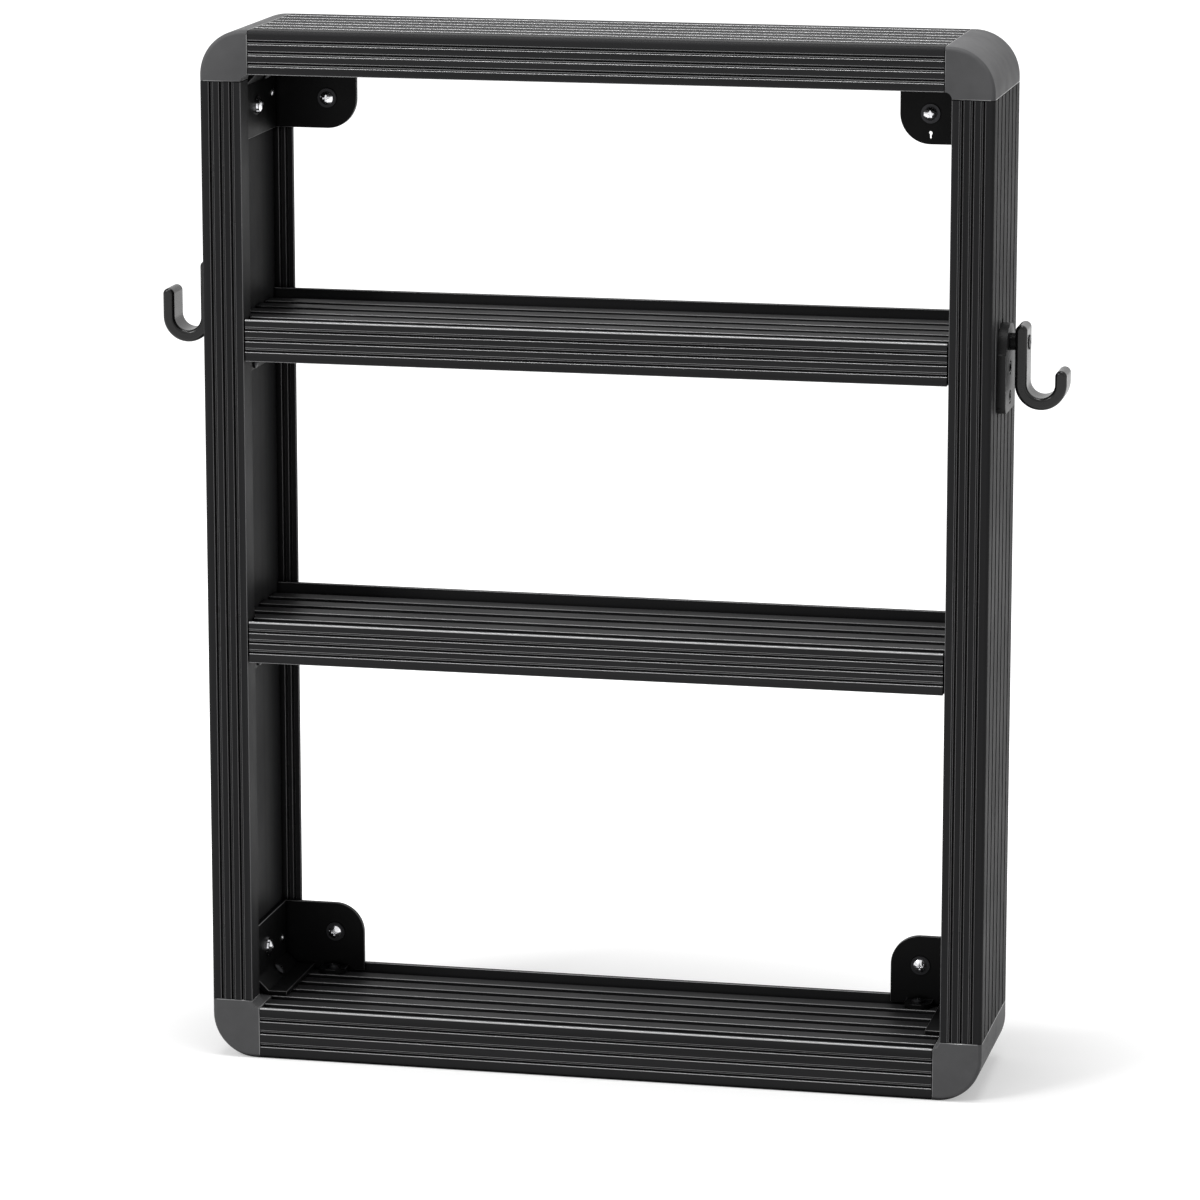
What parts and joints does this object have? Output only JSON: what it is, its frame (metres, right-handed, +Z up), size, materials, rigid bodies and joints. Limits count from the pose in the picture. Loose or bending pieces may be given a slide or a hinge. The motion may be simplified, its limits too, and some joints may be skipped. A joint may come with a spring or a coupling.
{
  "type": "wall rack",
  "caption": "Open wall rack of black ribbed extrusions with rounded corner blocks, fixed shelves between the stiles, folded corner brackets for wall screws and a swivelling hook on each side.",
  "frame": {"origin": "middle of the underside of the bottom rail, half way between the front and back faces of the frame", "axes": "+Z up, +Y back towards the wall, +X to the viewer's right from the front"},
  "size_m": [0.5724, 0.13, 0.65],
  "materials": {
    "extrusion": "satin black anodised, faint die lines along the length",
    "corner_casting": "satin black powder coat over a die casting",
    "bracket_steel": "smooth black powder coat on folded steel",
    "zinc_screw": "bright zinc plate",
    "black_washer": "black oxide",
    "black_screw": "black oxide",
    "hook_casting": "satin black powder coat over a die casting",
    "hook_fitting": "satin black powder coat on steel",
    "nylon": "moulded black nylon"
  },
  "bodies": {
    "rack": {"top_rail": "extrusion", "bottom_rail": "extrusion", "left_stile": "extrusion", "right_stile": "extrusion", "corner_top_left": "corner_casting", "corner_top_right": "corner_casting", "corner_bottom_left": "corner_casting", "corner_bottom_right": "corner_casting", "upper_shelf": "extrusion", "lower_shelf": "extrusion", "upper_shelf_cleat_left": "bracket_steel", "upper_shelf_cleat_right": "bracket_steel", "lower_shelf_cleat_left": "bracket_steel", "lower_shelf_cleat_right": "bracket_steel", "bracket_top_left": "bracket_steel", "bracket_top_right": "bracket_steel", "bracket_bottom_left": "bracket_steel", "bracket_bottom_right": "bracket_steel", "wall_screws": "zinc_screw", "wall_washers": "black_washer", "bracket_side_screws": "zinc_screw", "bracket_side_washers": "zinc_screw", "bracket_rail_screws": "black_screw", "bracket_rivets": "zinc_screw", "corner_screws": "black_screw", "upper_shelf_screws": "black_screw", "lower_shelf_screws": "black_screw", "hook_plate_left": "hook_fitting", "hook_plate_right": "hook_fitting", "hook_pin_left": "hook_fitting", "hook_pin_right": "hook_fitting", "thrust_washer_left": "nylon", "thrust_washer_right": "nylon", "hook_cap_screw_left": "black_screw", "hook_cap_screw_right": "black_screw", "hook_plate_screws_left": "black_screw", "hook_plate_screws_right": "black_screw"},
    "left_hook": {"hook_left": "hook_casting"},
    "right_hook": {"hook_right": "hook_casting"}
  },
  "joints": [
    {"name": "left_hook_swivel", "type": "hinge", "parent": "rack", "child": "left_hook", "pos_m": [-0.25815, 0.01, 0.488], "axis": [1, 0, 0], "continuous": true},
    {"name": "right_hook_swivel", "type": "hinge", "parent": "rack", "child": "right_hook", "pos_m": [0.25815, -0.01, 0.468], "axis": [1, 0, 0], "continuous": true}
  ]
}
